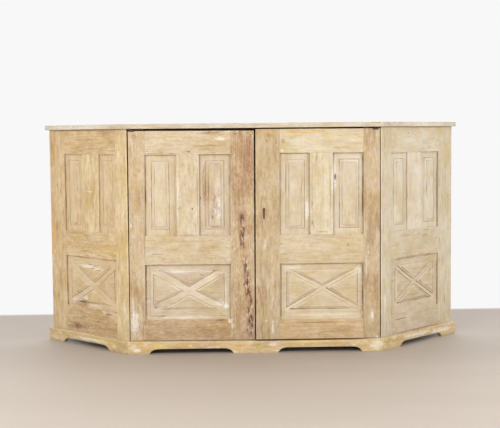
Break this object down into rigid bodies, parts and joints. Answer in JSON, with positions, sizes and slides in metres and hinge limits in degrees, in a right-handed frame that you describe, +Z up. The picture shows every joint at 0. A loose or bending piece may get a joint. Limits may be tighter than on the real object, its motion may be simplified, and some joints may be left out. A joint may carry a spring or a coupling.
{
  "type": "buffet cabinet",
  "caption": "Wide pine buffet cabinet with canted panelled sides, pivot-hung panelled doors over a shelf, a thin overhanging top and an arched plinth.",
  "frame": {"origin": "on the floor, under the middle of the cabinet's box", "axes": "+X along the width, to the right for someone facing the doors; +Y from the doors to the back; +Z up"},
  "size_m": [1.8208, 0.381, 0.95],
  "materials": {
    "frame_pine": "stripped, dry and worn",
    "panel_pine": "stripped, with paint left in the mouldings",
    "board_pine": "stripped, dry and worn",
    "inside_pine": "bare and aged",
    "iron": "dark and lightly rusted"
  },
  "bodies": {
    "carcass": {"top_front_plank": "board_pine", "top_back_plank": "board_pine", "plinth_front": "board_pine", "plinth_left": "board_pine", "plinth_right": "board_pine", "floor_board": "inside_pine", "shelf_board": "inside_pine", "left_shelf_cleat": "inside_pine", "right_shelf_cleat": "inside_pine", "back_lower_board": "inside_pine", "back_upper_board": "inside_pine", "stop_batten": "inside_pine", "left_side_front_stile": "frame_pine", "left_side_back_stile": "frame_pine", "left_side_top_rail": "frame_pine", "left_side_middle_rail": "frame_pine", "left_side_bottom_rail": "frame_pine", "left_side_muntin": "frame_pine", "left_side_front_panel": "panel_pine", "left_side_back_panel": "panel_pine", "left_side_cross_panel": "panel_pine", "right_side_front_stile": "frame_pine", "right_side_back_stile": "frame_pine", "right_side_top_rail": "frame_pine", "right_side_middle_rail": "frame_pine", "right_side_bottom_rail": "frame_pine", "right_side_muntin": "frame_pine", "right_side_front_panel": "panel_pine", "right_side_back_panel": "panel_pine", "right_side_cross_panel": "panel_pine", "left_top_socket": "iron", "left_bottom_socket": "iron", "right_top_socket": "iron", "right_bottom_socket": "iron"},
    "left_door": {"left_door_hinge_stile": "frame_pine", "left_door_meeting_stile": "frame_pine", "left_door_top_rail": "frame_pine", "left_door_lock_rail": "frame_pine", "left_door_bottom_rail": "frame_pine", "left_door_muntin": "frame_pine", "left_door_outer_panel": "panel_pine", "left_door_inner_panel": "panel_pine", "left_door_cross_panel": "panel_pine", "left_top_pivot": "iron", "left_bottom_pivot": "iron", "bolt_plate": "iron"},
    "right_door": {"right_door_hinge_stile": "frame_pine", "right_door_meeting_stile": "frame_pine", "right_door_top_rail": "frame_pine", "right_door_lock_rail": "frame_pine", "right_door_bottom_rail": "frame_pine", "right_door_muntin": "frame_pine", "right_door_outer_panel": "panel_pine", "right_door_inner_panel": "panel_pine", "right_door_cross_panel": "panel_pine", "right_top_pivot": "iron", "right_bottom_pivot": "iron", "lock_case": "iron"},
    "lock_bolt": {"lock_bolt": "iron"},
    "rod_bolt": {"bolt_rod": "iron"}
  },
  "joints": [
    {"name": "left_door_swing", "type": "hinge", "parent": "carcass", "child": "left_door", "pos_m": [-0.49535, -0.1645, 0.49], "axis": [0, 0, -1], "range_deg": [0, 110]},
    {"name": "right_door_swing", "type": "hinge", "parent": "carcass", "child": "right_door", "pos_m": [0.49535, -0.1645, 0.49], "axis": [0, 0, 1], "range_deg": [0, 110]},
    {"name": "lock_bolt_throw", "type": "slide", "parent": "right_door", "child": "lock_bolt", "axis": [-1, 0, 0], "range_m": [0, 0.016]},
    {"name": "rod_bolt_throw", "type": "slide", "parent": "left_door", "child": "rod_bolt", "axis": [0, 0, 1], "range_m": [0, 0.02]}
  ]
}
